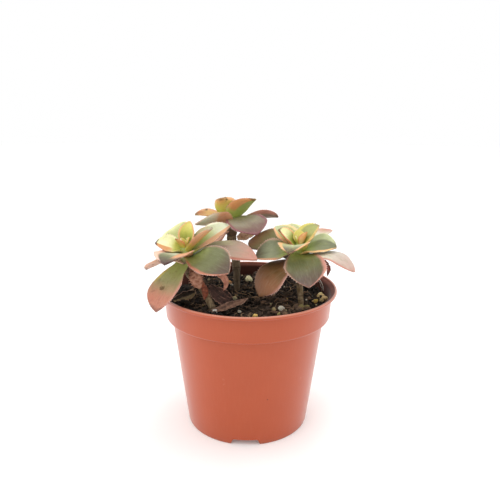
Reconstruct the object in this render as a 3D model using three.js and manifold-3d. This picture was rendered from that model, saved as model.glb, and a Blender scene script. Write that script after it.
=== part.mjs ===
// Potted aeonium: three leafy heads on bare stems in a small plastic nursery pot.
// Millimetres. +Z is up, the front faces -Y, and the pot stands on z = 0 around the Z axis.

import * as THREE from 'three';
import { mergeVertices } from 'three/addons/utils/BufferGeometryUtils.js';
import Module from 'manifold-3d';

const wasm = await Module();
wasm.setup();

// Pot
const POT_HEIGHT = 84;
const LIP_RADIUS = 52.5;
const BAND_TOP_RADIUS = 49.6;
const BAND_BOTTOM_RADIUS = 48.7;
const BAND_BOTTOM_Z = 68;
const FOOT_RADIUS = 36.4;
const POT_SEGMENTS = 56;
const FLOOR_UNDERSIDE_Z = 3.6;
const FLOOR_TOP_Z = 5;
const NOTCH_WIDTH = 16;
const NOTCH_HEIGHT = 3.4;
const NOTCH_TURNS = [-91.5, 28.5, 148.5];
const DRAIN_RADIUS = 4;
const DRAIN_RING_RADIUS = 24;
const DRAIN_COUNT = 6;

// Soil
const SOIL_LEVEL = 77;
const SOIL_SECTORS = 48;
const SOIL_RINGS = 11;
const FIT_GAP = 0.3;

// Leaves
const LEAF_ROWS = 8;
const LEAF_COLUMNS = 4;
const LEAF_EDGE = 0.8;
const LEAF_BODY = 1.2;
const LEAF_NECK = 0.42;
const LEAF_TIP_SHARE = 0.1;
const LEAF_ROLL_SHARE = 0.35;

// Crown of each head: where the youngest leaves stand, and how the head leans.
const CROWNS = {
  left: { top: [-35, -20, 112.5], lean: [-0.15, 0, 1] },
  right: { top: [28.6, -12, 112.5], lean: [0, 0, 1] },
  back: { top: [-10.5, 18, 123], lean: [0, 0, 1] },
};
const CORE_PROFILE = [
  [0, -12.5], [3.2, -12.5], [3.9, -9], [3.5, -4], [2.2, 0], [0, 1.4],
];

// One leaf a row: bearing, drop below the crown, length, width, lift at the root,
// lift at the tip, cup, roll, and how far along the leaf is widest.
const LEAVES = {
  left: [
    [-47, 6, 34, 21, 10, -14, 38, 35, 0.65],
    [-5, 8, 39, 21, 35, -30, 15, 15, 0.6],
    [10, 5, 28, 19, 45, 25, 30, 15, 0.6],
    [-20, 3, 21, 13, 50, 40, 70, 15, 0.5],
    [65, 1, 15, 11, 75, 70, 50, 5, 0.5],
    [115, 4, 25, 19, 45, 0, 35, -30, 0.55],
    [185, 3, 16, 16, 20, 20, 50, -25, 0.55],
    [-140, 1, 8, 7, 60, 45, 50, 0, 0.5],
    [-110, 5, 24, 22.5, 25, -18, 31, 5, 0.55],
    [-177, 9, 22.5, 16.5, 21, -42, 4, 22, 0.78],
    [-125, 9, 32, 22.5, -38, -45, 36, 6, 0.64],
    [55, 7, 30, 20, 20, -15, 20, 0, 0.6],
    [100, 8, 30, 20, 10, -25, 20, 0, 0.6],
  ],
  right: [
    [-85, 5.8, 32.5, 23, 2, -35, 33, 9, 0.65],
    [175, 6.2, 23.5, 21, 13, -26, 34, -22, 0.56],
    [-13.5, 5.5, 20.5, 22, 38, -10, 29, 15, 0.55],
    [-110, 4, 21, 18, 50, -30, 30, 5, 0.55],
    [-170, 3, 16, 14, 55, 40, 40, -25, 0.5],
    [140, 4, 20, 17, 55, 15, 35, -10, 0.5],
    [15, 3, 17, 16, 70, 35, 50, 15, 0.5],
    [100, 0, 8, 8, 80, 60, 50, 0, 0.5],
    [-25, 1, 9, 8, 70, 70, 60, -10, 0.5],
    [100, 5, 22, 15, 50, 20, 35, 0, 0.5],
    [45, 6, 29, 15, 40, 0, 30, 0, 0.55],
    [-29, 9.5, 35, 19.5, 45, -52, -6, -1, 0.67],
    [-160, 9.5, 30.5, 22, -7, -77, -7, -17, 0.64],
    [136, 10.5, 38.5, 21.5, 34, -17.5, 23, -27, 0.6],
    [85, 8, 32, 20, 15, -20, 20, 0, 0.6],
  ],
  back: [
    [-120, 4, 19.5, 18, 60, 50, 70, 25, 0.46],
    [-45, 4, 25, 17.5, 60, 22, 40, -12, 0.4],
    [-173, 5, 22, 11.5, 39, -9, 37, -12, 0.56],
    [-133, 5, 28, 20, 12, 3, 38, 31, 0.35],
    [-63, 2, 33, 23, 6, -17, 24, 11, 0.67],
    [3, 7, 28, 16, 32, -8, 30, -26, 0.7],
    [55, 3, 13, 9, 66, 50, 45, 0, 0.5],
    [110, 7, 22, 16, 18, 0, 30, 0, 0.55],
    [60, 8, 28, 18, 15, -10, 20, 0, 0.6],
    [125, 8, 26, 18, 10, -15, 20, 0, 0.6],
    [-165, 10, 18, 15, -10, -45, 20, -30, 0.5],
  ],
};

// Bare stems, from their foot in the soil to just under the crown: point and radius.
const STEMS = {
  left: [
    [[-18.5, -27, 62], 2], [[-18.5, -27, 76], 2.1], [[-22, -25.5, 84], 2], [[-28, -22.5, 93], 2],
    [[-32.6, -20, 97], 2.2], [[-33, -20, 99.7], 2.4],
  ],
  right: [
    [[30.5, -16, 62], 1.7], [[30.5, -16, 76], 1.7], [[29.5, -14.5, 86], 1.6], [[29, -13, 93], 1.8],
    [[28.6, -12, 97], 2.2], [[28.6, -12, 99.7], 2.4],
  ],
  back: [
    [[-7, 15, 62], 2], [[-7, 15, 76], 2], [[-7.5, 16, 90], 2], [[-9, 17, 103], 2.6],
    [[-10.5, 18, 107], 2.8], [[-10.5, 18, 110.2], 3],
  ],
};
const STEM_SIDES = 10;
const STEM_STEPS = 8;

// Withered leaves: midline, width, the way the inner face looks, and how much it is cupped.
const DRY_LEAVES = {
  hanging: {
    spine: [[-31, -23.5, 101.7], [-29, -28, 99.5], [-27.5, -29.5, 95.5], [-26, -29, 91.5]],
    width: 10, face: [0.2, -1, 0.2], cup: -35, widest: 0.6, colour: 0xa5705c,
  },
  hook: {
    spine: [[-29.6, -19.5, 99], [-24, -20.5, 100.5], [-17.5, -25.5, 100], [-13, -29.5, 97.5], [-12, -29, 94], [-13.5, -28, 90]],
    width: 5, face: [0.3, -1, 0.6], cup: 40, widest: 0.5, colour: 0xb4745c,
  },
  dark: {
    spine: [[-22, -21, 90], [-18.4, -20.8, 86.5], [-13.7, -20.2, 83], [-8.2, -18.4, 80.3]],
    width: 10, face: [0.1, -1, 0.6], cup: 40, widest: 0.55, colour: 0x46302c,
  },
  strip: {
    spine: [[-20, -29.7, 78.5], [-14, -28, 79.5], [-9, -25, 80.5], [-4, -23, 81.5], [0, -19, 82.5]],
    width: 5, face: [0, -1, 1], cup: 60, widest: 0.4, colour: 0x7c4f40,
  },
  folded: {
    spine: [[-43, -14, 79], [-40, -10, 79], [-35, -6, 79.5], [-31, -3, 80.5]],
    width: 9, face: [0.5, -1, 0.6], cup: 95, widest: 0.5, colour: 0x6c5f4a,
  },
  tan: {
    spine: [[-6.9, 17.2, 108.5], [-2, 15.5, 111], [4, 14, 112.5]],
    width: 7, face: [0.2, -1, 0.4], cup: 30, widest: 0.5, colour: 0xa8704f,
  },
  red: {
    spine: [[31.4, -11, 98.3], [36, -8.5, 100.5], [42, -8.5, 101.5], [45.8, -9.5, 98], [45.5, -10, 93]],
    width: 4, face: [0.2, -1, 0.2], cup: 50, widest: 0.6, colour: 0x7a3630,
  },
};
const DRY_ROWS = 10;
const DRY_EDGE = 0.7;

// Loose grit lying in the soil: position and size.
const GRIT = [
  [0.5, 28.5, 4.6], [-11, 22, 3.4], [-8, -7, 3], [-18.5, -33, 3.6], [-4.5, -28, 2.8],
  [4, -34.5, 3.2], [14.5, -23.5, 3.2], [18.5, -23, 3], [43.5, 0.5, 3.4], [45, -3, 3.2],
  [40, -8.5, 3],
];

function deg(angle) {
  return angle * Math.PI / 180;
}

// A boolean-ready solid from a closed geometry.
function solidFrom(geometry) {
  const bare = geometry.clone();
  bare.deleteAttribute('normal');
  bare.deleteAttribute('uv');
  const merged = mergeVertices(bare, 1e-4);
  return new wasm.Manifold(new wasm.Mesh({
    numProp: 3,
    vertProperties: Float32Array.from(merged.attributes.position.array),
    triVerts: Uint32Array.from(merged.index.array),
  }));
}

function geometryFrom(solid) {
  const mesh = solid.getMesh();
  const geometry = new THREE.BufferGeometry();
  geometry.setAttribute('position', new THREE.Float32BufferAttribute(mesh.vertProperties, 3));
  geometry.setIndex(Array.from(mesh.triVerts));
  geometry.computeVertexNormals();
  return geometry;
}

// A thin closed blade between an upper and a lower grid of points, cut into triangles alike.
function bladeFrom(upper, lower) {
  const rows = upper.length;
  const columns = upper[0].length;
  const points = [...upper.flat(), ...lower.flat()];
  const up = (i, j) => i * columns + j;
  const down = (i, j) => rows * columns + up(i, j);
  const index = [];
  const quad = (a, b, c, d) => index.push(a, b, c, a, c, d);
  for (let i = 0; i < rows - 1; i += 1) {
    for (let j = 0; j < columns - 1; j += 1) {
      index.push(up(i, j), up(i + 1, j), up(i + 1, j + 1));
      index.push(up(i, j), up(i + 1, j + 1), up(i, j + 1));
      index.push(down(i, j), down(i + 1, j + 1), down(i + 1, j));
      index.push(down(i, j), down(i, j + 1), down(i + 1, j + 1));
    }
    quad(down(i, 0), down(i + 1, 0), up(i + 1, 0), up(i, 0));
    const last = columns - 1;
    quad(up(i, last), up(i + 1, last), down(i + 1, last), down(i, last));
  }
  for (let j = 0; j < columns - 1; j += 1) {
    quad(up(0, j), up(0, j + 1), down(0, j + 1), down(0, j));
    const last = rows - 1;
    quad(down(last, j), down(last, j + 1), up(last, j + 1), up(last, j));
  }
  const geometry = new THREE.BufferGeometry();
  const flat = points.flatMap((point) => [point.x, point.y, point.z]);
  geometry.setAttribute('position', new THREE.Float32BufferAttribute(flat, 3));
  geometry.setIndex(index);
  return geometry;
}

// Share of the full half-width at a place s along the leaf: a neck, the widest place, the tip.
function widthShare(s, widest) {
  if (s < widest) {
    return LEAF_NECK + (1 - LEAF_NECK) * Math.sin(Math.PI / 2 * s / widest) ** 1.3;
  }
  const q = (s - widest) / (1 - widest);
  return Math.max(LEAF_TIP_SHARE, (1 - q * q) ** 0.8);
}

// Upper and lower points of one cross-section: an arc of the given cup, thicker in the middle.
function crossSection(middle, side, normal, halfWidth, cup, columns, edge, body) {
  const arc = Math.abs(cup) < 1 ? deg(1) : deg(cup);
  const upper = [];
  const lower = [];
  for (let j = 0; j <= columns; j += 1) {
    const v = 2 * j / columns - 1;
    const across = Math.sin(arc * v) / arc;
    const above = (1 - Math.cos(arc * v)) / arc;
    const point = middle.clone()
      .addScaledVector(side, halfWidth * across)
      .addScaledVector(normal, halfWidth * above);
    const out = normal.clone().multiplyScalar(Math.cos(arc * v))
      .addScaledVector(side, -Math.sin(arc * v));
    const half = (edge + body * (1 - v * v)) / 2;
    upper.push(point.clone().addScaledVector(out, half));
    lower.push(point.clone().addScaledVector(out, -half));
  }
  return { upper, lower };
}

// One living leaf, rooted near the crown's axis.
function leafSolid(crown, row) {
  const [bearing, drop, length, width, liftRoot, liftTip, cup, roll, widest] = row;
  const turn = deg(bearing);
  const outward = new THREE.Vector3(Math.cos(turn), Math.sin(turn), 0);
  const lean = new THREE.Vector3(...crown.lean).normalize();
  const middle = new THREE.Vector3(...crown.top)
    .addScaledVector(lean, -drop)
    .addScaledVector(outward, 1 + 0.12 * drop);
  const young = Math.min(1, length / 20);
  const fine = 25;
  const upper = [];
  const lower = [];
  for (let i = 0; i <= LEAF_ROWS; i += 1) {
    const s = i / LEAF_ROWS;
    const lift = deg(liftRoot + (liftTip - liftRoot) * s);
    const along = outward.clone().multiplyScalar(Math.cos(lift));
    along.z = Math.sin(lift);
    const side0 = new THREE.Vector3(-Math.sin(turn), Math.cos(turn), 0);
    const normal0 = along.clone().cross(side0);
    const tilt = deg(roll) * Math.min(1, s / LEAF_ROLL_SHARE);
    const side = side0.clone().multiplyScalar(Math.cos(tilt)).addScaledVector(normal0, Math.sin(tilt));
    const normal = normal0.clone().multiplyScalar(Math.cos(tilt)).addScaledVector(side0, -Math.sin(tilt));
    const halfWidth = width / 2 * widthShare(s, widest);
    const body = LEAF_BODY * young * (1 - 0.5 * s);
    const section = crossSection(middle, side, normal, halfWidth, cup, LEAF_COLUMNS, LEAF_EDGE, body);
    upper.push(section.upper);
    lower.push(section.lower);
    for (let k = 0; k < fine && i < LEAF_ROWS; k += 1) {
      const here = s + (k + 0.5) / fine / LEAF_ROWS;
      const rise = deg(liftRoot + (liftTip - liftRoot) * here);
      const step = length / LEAF_ROWS / fine;
      middle.addScaledVector(outward, Math.cos(rise) * step);
      middle.z += Math.sin(rise) * step;
    }
  }
  return solidFrom(bladeFrom(upper, lower));
}

// The short fleshy crown that the leaves of one head stand on.
function coreSolid(crown) {
  const outline = CORE_PROFILE.map(([r, z]) => new THREE.Vector2(r, z));
  const geometry = new THREE.LatheGeometry(outline, 12);
  geometry.rotateX(Math.PI / 2);
  const lean = new THREE.Vector3(...crown.lean).normalize();
  const turn = new THREE.Quaternion().setFromUnitVectors(new THREE.Vector3(0, 0, 1), lean);
  geometry.applyQuaternion(turn);
  geometry.translate(...crown.top);
  return solidFrom(geometry);
}

// The leaves of one head on its crown. Small pockets shut in between crowded leaf roots are
// filled: of all the shells of the joined body only the outer one is kept.
function headSolid(name) {
  const crown = CROWNS[name];
  let body = coreSolid(crown);
  for (const row of LEAVES[name]) {
    body = body.add(leafSolid(crown, row));
  }
  const shells = body.decompose();
  return shells.reduce((outer, shell) => (shell.volume() > outer.volume() ? shell : outer));
}

// A round bar along a smooth path with a changing radius and flat ends.
function barSolid(stations, steps, sides, extra = 0, lengthen = 0) {
  const path = new THREE.CatmullRomCurve3(stations.map(([point]) => new THREE.Vector3(...point)));
  const frames = path.computeFrenetFrames(steps, false);
  const points = [];
  const index = [];
  for (let i = 0; i <= steps; i += 1) {
    const t = i / steps;
    const centre = path.getPointAt(t);
    const tangent = frames.tangents[i];
    if (i === 0) {
      centre.addScaledVector(tangent, -lengthen);
    }
    const place = t * (stations.length - 1);
    const k = Math.min(stations.length - 2, Math.floor(place));
    const radius = extra + stations[k][1] + (stations[k + 1][1] - stations[k][1]) * (place - k);
    for (let j = 0; j < sides; j += 1) {
      const a = 2 * Math.PI * j / sides;
      points.push(centre.clone()
        .addScaledVector(frames.normals[i], radius * Math.cos(a))
        .addScaledVector(frames.binormals[i], radius * Math.sin(a)));
    }
  }
  for (let i = 0; i < steps; i += 1) {
    for (let j = 0; j < sides; j += 1) {
      const a = i * sides + j;
      const b = i * sides + (j + 1) % sides;
      index.push(a, b, b + sides, a, b + sides, a + sides);
    }
  }
  for (let j = 1; j < sides - 1; j += 1) {
    const top = steps * sides;
    index.push(0, j + 1, j);
    index.push(top, top + j, top + j + 1);
  }
  const geometry = new THREE.BufferGeometry();
  const flat = points.flatMap((point) => [point.x, point.y, point.z]);
  geometry.setAttribute('position', new THREE.Float32BufferAttribute(flat, 3));
  geometry.setIndex(index);
  return solidFrom(geometry);
}

// One withered leaf along its midline.
function dryLeafSolid({ spine, width, face, cup, widest }) {
  const path = new THREE.CatmullRomCurve3(spine.map((point) => new THREE.Vector3(...point)));
  const upper = [];
  const lower = [];
  for (let i = 0; i <= DRY_ROWS; i += 1) {
    const s = i / DRY_ROWS;
    const along = path.getTangentAt(s);
    const side = new THREE.Vector3(...face).cross(along).normalize();
    const normal = along.clone().cross(side);
    const halfWidth = width / 2 * widthShare(s, widest);
    const section = crossSection(path.getPointAt(s), side, normal, halfWidth, cup, 4, DRY_EDGE, 0);
    upper.push(section.upper);
    lower.push(section.lower);
  }
  return solidFrom(bladeFrom(upper, lower));
}

// Pot wall outline, closed on itself: up the outside, over the lip, down the inside, under the floor.
function potOutline() {
  return [
    [FOOT_RADIUS, 0],
    [FOOT_RADIUS + 0.3, 0.8],
    [45.2, 66.2],
    [45.5, 67],
    [46.3, 67.3],
    [48.2, 67.4],
    [BAND_BOTTOM_RADIUS, 68],
    [BAND_TOP_RADIUS, 80.8],
    [50, 81.5],
    [51.8, 81.8],
    [52.3, 82.2],
    [LIP_RADIUS, 83],
    [52.2, 83.7],
    [51.7, POT_HEIGHT],
    [51.2, 83.7],
    [50.8, 83],
    [49.2, 82.4],
    [48.5, 81.6],
    [47.6, 69.8],
    [47, 68.8],
    [44.8, 68.4],
    [44.1, 66.6],
    [35.6, 5.6],
    [35, FLOOR_TOP_Z],
    [0, FLOOR_TOP_Z],
    [0, FLOOR_UNDERSIDE_Z],
    [34.2, FLOOR_UNDERSIDE_Z],
    [34.5, 0],
  ];
}

function potSolid() {
  const outline = potOutline();
  const points = [...outline, outline[0]].map(([r, z]) => new THREE.Vector2(r, z));
  const turned = new THREE.LatheGeometry(points, POT_SEGMENTS);
  turned.rotateX(Math.PI / 2);
  let pot = solidFrom(turned);
  for (const angle of NOTCH_TURNS) {
    const notch = new THREE.BoxGeometry(8, NOTCH_WIDTH, NOTCH_HEIGHT + 1);
    notch.translate(35.5, 0, (NOTCH_HEIGHT - 1) / 2);
    notch.rotateZ(deg(angle));
    pot = pot.subtract(solidFrom(notch));
  }
  for (let i = 0; i <= DRAIN_COUNT; i += 1) {
    const drain = new THREE.CylinderGeometry(DRAIN_RADIUS, DRAIN_RADIUS, 4, 16);
    drain.rotateX(Math.PI / 2);
    const reach = i === DRAIN_COUNT ? 0 : DRAIN_RING_RADIUS;
    const angle = deg(60 * i + 28.5);
    drain.translate(reach * Math.cos(angle), reach * Math.sin(angle), FLOOR_UNDERSIDE_Z + 0.7);
    pot = pot.subtract(solidFrom(drain));
  }
  return pot;
}

// Gentle hill or hollow with its centre, spread and height.
function mound(x, y, centreX, centreY, spread, height) {
  const far = ((x - centreX) ** 2 + (y - centreY) ** 2) / (2 * spread * spread);
  return height * Math.exp(-far);
}

function soilHeight(x, y) {
  const swell = 0.7 * Math.sin(0.23 * x + 1.3) * Math.cos(0.19 * y - 0.4)
    + 0.4 * Math.sin(0.45 * x - 0.31 * y);
  return SOIL_LEVEL + swell
    + mound(x, y, 18, -15, 8, 2)
    + mound(x, y, -20, -20, 8, 1)
    + mound(x, y, 5, 4, 4.5, -3.5);
}

// Soil filling the pot, a hair clear of its wall and floor, with a lumpy top.
function soilSolid() {
  const wall = [[34.6, FLOOR_TOP_Z + FIT_GAP], [43.7, 66.4], [44.4, 68.9], [46.6, 69.4], [47.2, 70.2], [47.6, 0]];
  const points = [new THREE.Vector3(0, 0, wall[0][1])];
  const ringOf = (radius, height) => {
    for (let j = 0; j < SOIL_SECTORS; j += 1) {
      const a = 2 * Math.PI * j / SOIL_SECTORS;
      const x = radius * Math.cos(a);
      const y = radius * Math.sin(a);
      points.push(new THREE.Vector3(x, y, height === null ? soilHeight(x, y) : height));
    }
  };
  wall.slice(0, -1).forEach(([radius, height]) => ringOf(radius, height));
  for (let i = 0; i < SOIL_RINGS; i += 1) {
    ringOf(wall[wall.length - 1][0] * (1 - i / SOIL_RINGS), null);
  }
  points.push(new THREE.Vector3(0, 0, soilHeight(0, 0)));
  const rings = wall.length - 1 + SOIL_RINGS;
  const index = [];
  const at = (i, j) => 1 + i * SOIL_SECTORS + j % SOIL_SECTORS;
  for (let j = 0; j < SOIL_SECTORS; j += 1) {
    index.push(0, at(0, j + 1), at(0, j));
    index.push(at(rings - 1, j), at(rings - 1, j + 1), points.length - 1);
  }
  for (let i = 0; i < rings - 1; i += 1) {
    for (let j = 0; j < SOIL_SECTORS; j += 1) {
      index.push(at(i, j), at(i, j + 1), at(i + 1, j + 1));
      index.push(at(i, j), at(i + 1, j + 1), at(i + 1, j));
    }
  }
  const geometry = new THREE.BufferGeometry();
  const flat = points.flatMap((point) => [point.x, point.y, point.z]);
  geometry.setAttribute('position', new THREE.Float32BufferAttribute(flat, 3));
  geometry.setIndex(index);
  let soil = solidFrom(geometry);
  for (const [x, y, size] of GRIT) {
    const stone = new THREE.IcosahedronGeometry(size / 2, 0);
    stone.rotateZ(x + y);
    stone.scale(1.1, 0.95, 0.85);
    stone.translate(x, y, soilHeight(x, y) + size * 0.12);
    soil = soil.add(solidFrom(stone));
  }
  for (const stations of Object.values(STEMS)) {
    soil = soil.subtract(barSolid(stations, STEM_STEPS, STEM_SIDES, FIT_GAP + 0.1, FIT_GAP));
  }
  return soil;
}

const group = new THREE.Group();
group.name = 'potted_aeonium';

function addPiece(name, solid, colour, roughness) {
  const material = new THREE.MeshStandardMaterial({ color: colour, roughness, metalness: 0 });
  const mesh = new THREE.Mesh(geometryFrom(solid), material);
  mesh.name = name;
  group.add(mesh);
}

addPiece('pot', potSolid(), 0xbe5f46, 0.45);
addPiece('soil', soilSolid(), 0x2c211a, 0.95);
for (const name of Object.keys(STEMS)) {
  addPiece(`stem_${name}`, barSolid(STEMS[name], STEM_STEPS, STEM_SIDES), 0x6b5743, 0.85);
  addPiece(`rosette_${name}`, headSolid(name), 0x8a9a5b, 0.5);
}
for (const [name, leaf] of Object.entries(DRY_LEAVES)) {
  addPiece(`dry_leaf_${name}`, dryLeafSolid(leaf), leaf.colour, 0.8);
}

export default group;
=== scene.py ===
# %% [markdown]
# # A potted aeonium
# A small plastic nursery pot holds a succulent with three leafy heads. Each head is a rosette of
# fleshy, spoon-shaped leaves on a bare stem, and a few withered leaves still hang under them.
# The solids made before give every piece its place. This lesson dresses them: finer meshes with
# the same form, and a finish for each. Lengths are worked out in millimetres and stored in metres.

# %% Load the solids
import math

import bmesh
import bpy
import numpy as np
from mathutils import Euler, Matrix, Vector, noise


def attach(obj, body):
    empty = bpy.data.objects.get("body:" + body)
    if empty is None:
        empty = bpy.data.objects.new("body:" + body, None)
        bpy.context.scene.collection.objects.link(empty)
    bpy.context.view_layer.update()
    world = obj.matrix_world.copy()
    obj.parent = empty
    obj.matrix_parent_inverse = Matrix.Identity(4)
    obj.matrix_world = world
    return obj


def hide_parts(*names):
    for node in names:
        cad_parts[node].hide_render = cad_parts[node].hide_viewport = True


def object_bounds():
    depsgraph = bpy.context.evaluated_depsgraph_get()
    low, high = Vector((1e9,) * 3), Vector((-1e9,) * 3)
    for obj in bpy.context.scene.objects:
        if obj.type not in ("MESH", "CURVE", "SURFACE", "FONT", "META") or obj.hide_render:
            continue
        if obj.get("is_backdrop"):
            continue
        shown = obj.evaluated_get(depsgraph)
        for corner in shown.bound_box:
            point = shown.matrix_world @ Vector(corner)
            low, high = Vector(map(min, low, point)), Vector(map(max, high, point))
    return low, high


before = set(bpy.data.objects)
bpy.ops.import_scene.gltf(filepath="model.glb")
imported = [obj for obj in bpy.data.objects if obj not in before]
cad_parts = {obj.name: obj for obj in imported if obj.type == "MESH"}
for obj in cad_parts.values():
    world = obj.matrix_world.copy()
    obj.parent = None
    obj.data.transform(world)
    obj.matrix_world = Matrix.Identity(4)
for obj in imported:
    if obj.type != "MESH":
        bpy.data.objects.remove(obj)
cad_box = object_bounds()
MM = 0.001

# %% [markdown]
# ## The camera
# The view is a level product shot from a little above the pot, looking slightly down. A real
# camera would stand about 34 cm away. The angles and the lens were found by matching the round
# rim and foot of the pot, so that the ellipses come out the same.

# %% Set the camera
lens = bpy.data.cameras.new("camera")
lens.sensor_width = 36
lens.lens = 40.56
lens.clip_start = 0.01
lens.clip_end = 20
camera = bpy.data.objects.new("camera", lens)
bpy.context.scene.collection.objects.link(camera)
tilt_down = Matrix.Rotation(math.radians(75.3), 4, "X")
roll = Matrix.Rotation(math.radians(0.43), 4, "Z")
place = Matrix.Translation(Vector((0.9, -319.6, 189.5)) * MM)
camera.matrix_world = place @ tilt_down @ roll
bpy.context.scene.camera = camera
print("camera at", [round(v, 4) for v in camera.matrix_world.translation])

# %% [markdown]
# ## Pieces from points
# Every piece here is a mesh made from a list of points and faces. One helper does this for all
# of them: it smooths the shading and stores any extra value per point, so that a material can
# read it later, such as how far along a leaf a point lies.

# %% Make a mesh piece


def store(mesh, values):
    """Keeps one number, vector or colour per point under each name."""
    kinds = {1: ("FLOAT", "value"), 3: ("FLOAT_VECTOR", "vector"), 4: ("FLOAT_COLOR", "color")}
    for name, data in values.items():
        data = np.asarray(data, np.float32)
        kind, key = kinds[1 if data.ndim == 1 else data.shape[1]]
        layer = mesh.attributes.new(name, kind, "POINT")
        layer.data.foreach_set(key, data.ravel())


def new_piece(name, points, faces, values=None, sharp=None):
    """A mesh object from points in millimetres. Edges bent more than sharp degrees stay crisp."""
    mesh = bpy.data.meshes.new(name)
    mesh.from_pydata((np.asarray(points, float) * MM).tolist(), [], faces)
    mesh.validate()
    store(mesh, values or {})
    mesh.shade_smooth()
    if sharp is not None:
        mesh.set_sharp_from_angle(angle=math.radians(sharp))
    piece = bpy.data.objects.new(name, mesh)
    bpy.context.scene.collection.objects.link(piece)
    return piece


def settle(piece, slot, *nodes):
    """The piece belongs to the plant in its pot and stands for these solids."""
    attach(piece, "root")
    if nodes:
        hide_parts(*nodes)
    print(piece.name, "faces:", len(piece.data.polygons))


class Heap:
    """Points, faces and values of many small shapes that end up in one piece."""

    def __init__(self):
        self.points = []
        self.faces = []
        self.values = {}
        self.count = 0

    def add(self, points, faces, **values):
        points = np.asarray(points, float)
        self.points.append(points)
        self.faces += [[i + self.count for i in face] for face in faces]
        self.count += len(points)
        for name, value in values.items():
            value = np.asarray(value, float)
            if value.shape[:1] != (len(points),):
                value = np.repeat(value[None], len(points), 0)
            self.values.setdefault(name, []).append(value)

    def piece(self, name, sharp=None):
        values = {key: np.concatenate(parts) for key, parts in self.values.items()}
        return new_piece(name, np.concatenate(self.points), self.faces, values, sharp)


# %% [markdown]
# ## Finishes written as sums
# A finish is a small network of nodes. Written one node at a time it is long and hard to read, so
# a class wraps the output of a node. Adding or multiplying two such wires adds the node for
# it, and anything else comes from one method that makes any node.

# %% Wrap a node's output


class Wire:
    """The output of one shader node. Sums of wires and numbers add Math nodes."""

    def __init__(self, tree, socket=None):
        self.tree = tree
        self.socket = socket

    def node(self, kind, settings=None, inputs=None, output=0):
        """Any node: first its settings, then the values or links of its sockets."""
        made = self.tree.nodes.new(kind)
        for key, value in (settings or {}).items():
            setattr(made, key, value)
        for key, value in (inputs or {}).items():
            if isinstance(value, Wire):
                self.tree.links.new(value.socket, made.inputs[key])
            else:
                made.inputs[key].default_value = value
        return Wire(self.tree, made.outputs[output] if made.outputs else None)

    def maths(self, operation, first, second=0.0):
        return self.node("ShaderNodeMath", {"operation": operation}, {0: first, 1: second})

    def __add__(self, other):
        return self.maths("ADD", self, other)

    def __sub__(self, other):
        return self.maths("SUBTRACT", self, other)

    def __rsub__(self, other):
        return self.maths("SUBTRACT", other, self)

    def __mul__(self, other):
        return self.maths("MULTIPLY", self, other)

    def __truediv__(self, other):
        return self.maths("DIVIDE", self, other)

    def __pow__(self, other):
        return self.maths("POWER", self, other)

    __radd__ = __add__
    __rmul__ = __mul__

    def size(self):
        return self.maths("ABSOLUTE", self)

    def step(self, low, high):
        """0 below low and 1 above high, with a soft change between them."""
        ends = {"Value": self, "From Min": low, "From Max": high}
        return self.node("ShaderNodeMapRange", {"interpolation_type": "SMOOTHSTEP"}, ends)

    def between(self, first, second):
        """The first colour where this is 0 and the second where it is 1."""
        inputs = {0: self, 6: first, 7: second}
        return self.node("ShaderNodeMix", {"data_type": "RGBA"}, inputs, output=2)

    def tinted(self, amount, colour):
        """This colour with some of another one over it."""
        inputs = {0: amount, 6: self, 7: colour}
        return self.node("ShaderNodeMix", {"data_type": "RGBA"}, inputs, output=2)

    def lit(self, amount):
        """This colour made lighter or darker by a number around 1."""
        inputs = {0: self, "Scale": amount}
        return self.node("ShaderNodeVectorMath", {"operation": "SCALE"}, inputs)

    def stretched(self, x, y, z):
        """These coordinates drawn out along each axis."""
        inputs = {0: self, 1: (x, y, z)}
        return self.node("ShaderNodeVectorMath", {"operation": "MULTIPLY"}, inputs)

    def clouds(self, size, detail=3.0, rough=0.55):
        """Soft noise from 0 to 1 at these coordinates, with blobs of about that size."""
        inputs = {"Vector": self, "Scale": 1 / size, "Detail": detail, "Roughness": rough}
        return self.node("ShaderNodeTexNoise", {}, inputs)

    def cells(self, size):
        """Distance to the nearest of many scattered points at about that spacing."""
        inputs = {"Vector": self, "Scale": 1 / size}
        return self.node("ShaderNodeTexVoronoi", {}, inputs)

    def kept(self, name, output=2):
        """A value stored on the mesh: output 2 is a number, 1 a vector and 0 a colour."""
        return self.node("ShaderNodeAttribute", {"attribute_name": name}, {}, output)

    def where(self):
        """Place on the piece in metres."""
        return self.node("ShaderNodeTexCoord", {}, {}, output=3)

    def part(self, axis):
        return self.node("ShaderNodeSeparateXYZ", {}, {0: self}, output=axis)


def paint(code):
    """The colour of a paint-chart code such as c8a060, as light."""
    parts = [int(code[i:i + 2], 16) / 255 for i in (0, 2, 4)]
    return [p / 12.92 if p <= 0.04045 else ((p + 0.055) / 1.055) ** 2.4 for p in parts] + [1.0]


def new_finish(name):
    """An empty material and a wire to build on."""
    material = bpy.data.materials.new(name)
    material.use_nodes = True
    material.node_tree.nodes.clear()
    return material, Wire(material.node_tree)


def close_finish(start, colour, roughness, height=None, depth=0.0002, strength=1.0, **fixed):
    """Ends a finish: the surface shader, with relief where a height is given."""
    inputs = {"Base Color": colour, "Roughness": roughness}
    if height is not None:
        relief = {"Height": height, "Distance": depth, "Strength": strength}
        inputs["Normal"] = start.node("ShaderNodeBump", {}, relief)
    for key, value in fixed.items():
        inputs[key.replace("_", " ")] = value
    shader = start.node("ShaderNodeBsdfPrincipled", {}, inputs)
    start.node("ShaderNodeOutputMaterial", {}, {"Surface": shader})


print("finishes are ready to be written")

# %% [markdown]
# ## Floor and light
# The plant stands on a plain white table in a bright white room, so light comes from all round
# and the shadows are faint. Two large soft lamps above add a little shape. One lamp at each side
# stands for a white wall, and gives the plastic its pale sheen towards both edges. The table gets
# a trace of its own light, because a bright table in a white room never looks grey.

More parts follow.
